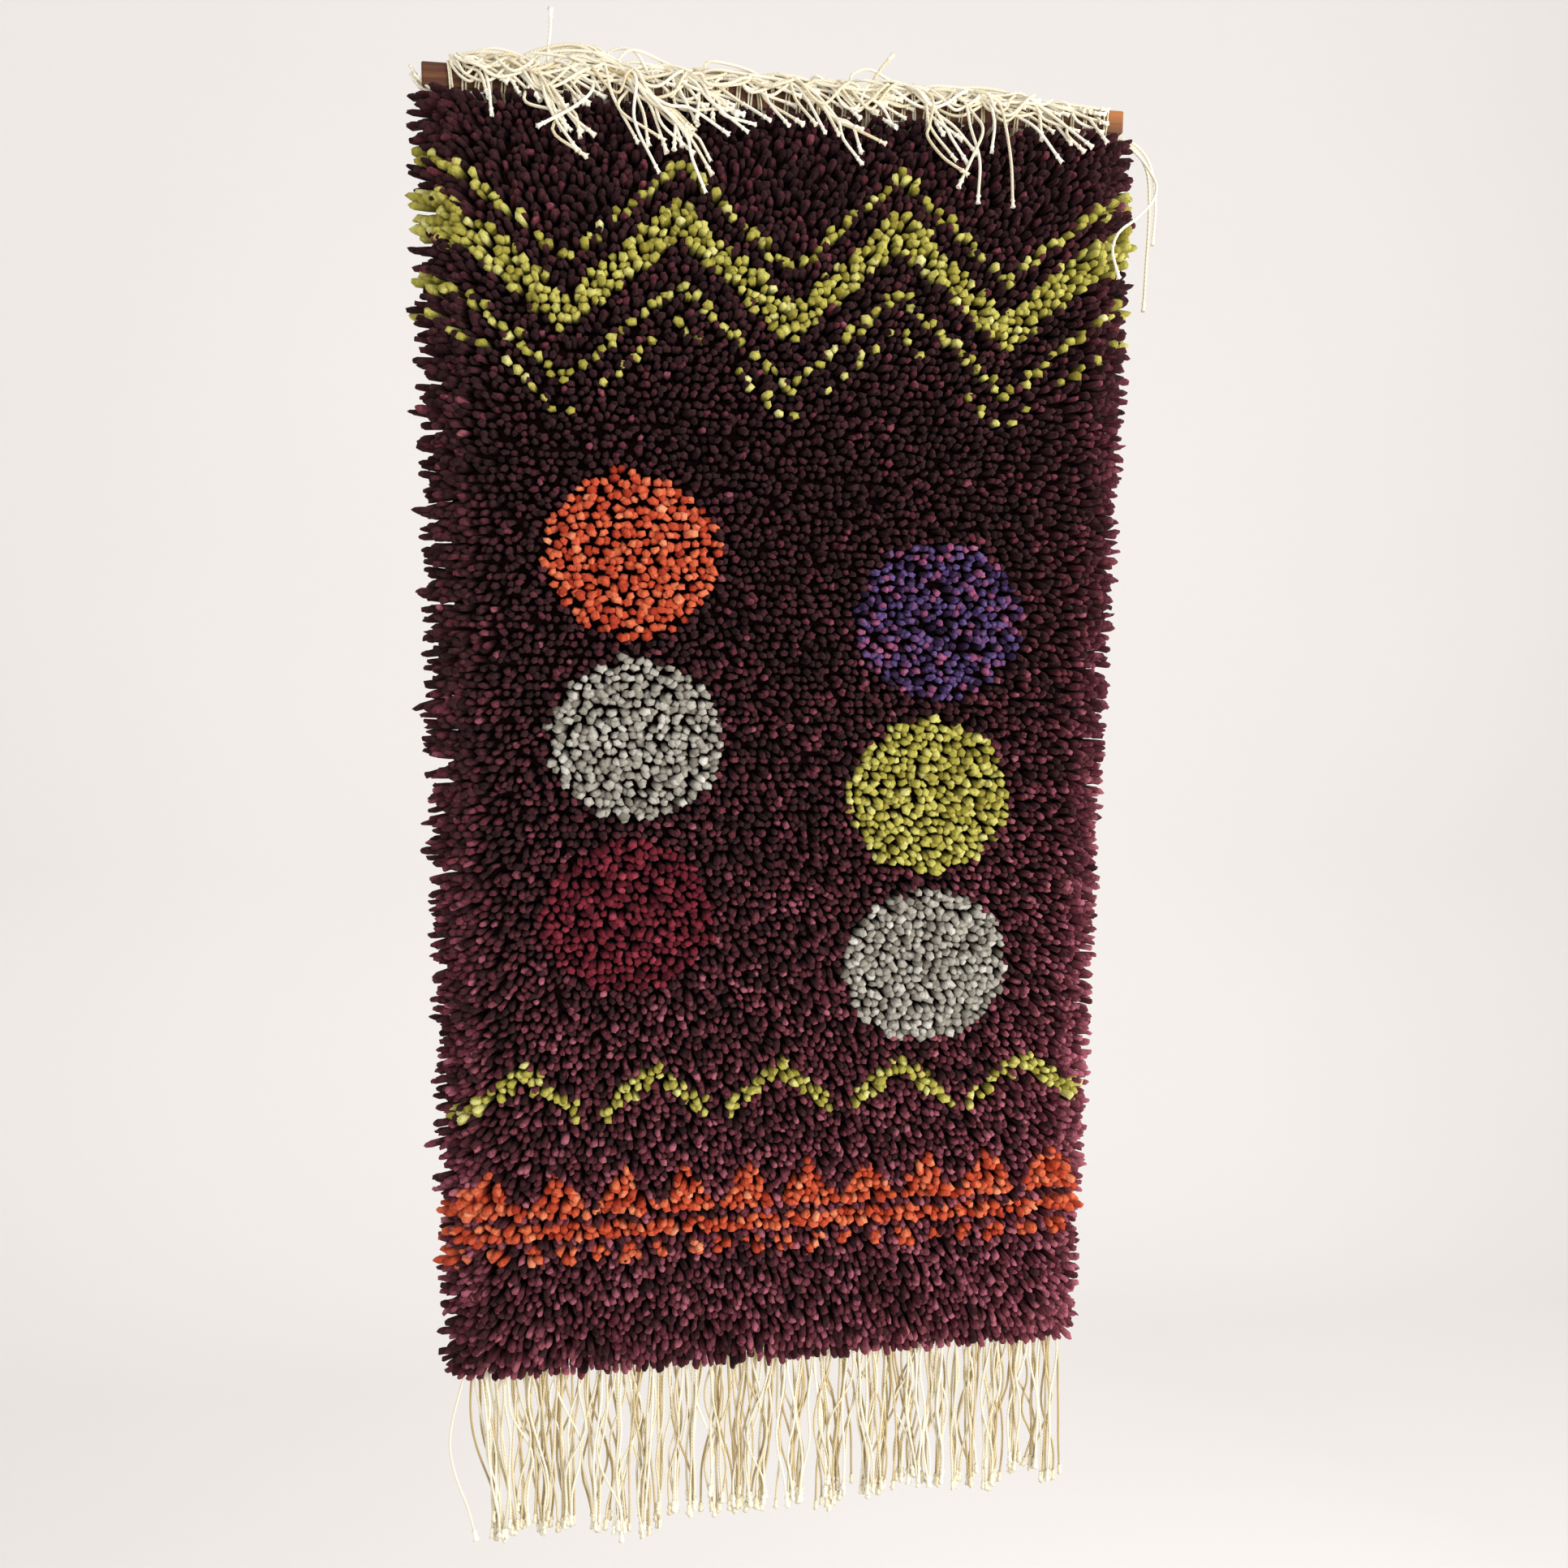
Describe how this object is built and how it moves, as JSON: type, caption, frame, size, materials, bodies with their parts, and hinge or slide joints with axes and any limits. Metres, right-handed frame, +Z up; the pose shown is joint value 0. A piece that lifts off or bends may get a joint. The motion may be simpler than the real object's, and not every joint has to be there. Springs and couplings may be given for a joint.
{
  "type": "knotted pile wall hanging with wooden batten",
  "caption": "Long narrow knotted-pile hanging looped over a flat wooden batten, with loose warp ends at the top and a warp fringe below.",
  "frame": {"origin": "middle of the batten's flat back face, above the middle of the cloth", "axes": "+X to the right as it hangs, +Y into the wall, +Z up"},
  "size_m": [0.6708, 0.0557, 1.4263],
  "materials": {
    "batten_wood": "sawn dark hardwood, unvarnished",
    "warp_cotton": "natural cream twisted cotton yarn",
    "ground_cloth": "warp-faced woven ground, matt",
    "pile_wool": "cut wool pile, long and matt"
  },
  "bodies": {
    "root": {"batten": "batten_wood", "warp_loops": "warp_cotton", "ground_weave": "ground_cloth", "pile": "pile_wool", "top_fringe": "warp_cotton", "bottom_fringe": "warp_cotton"}
  },
  "joints": []
}
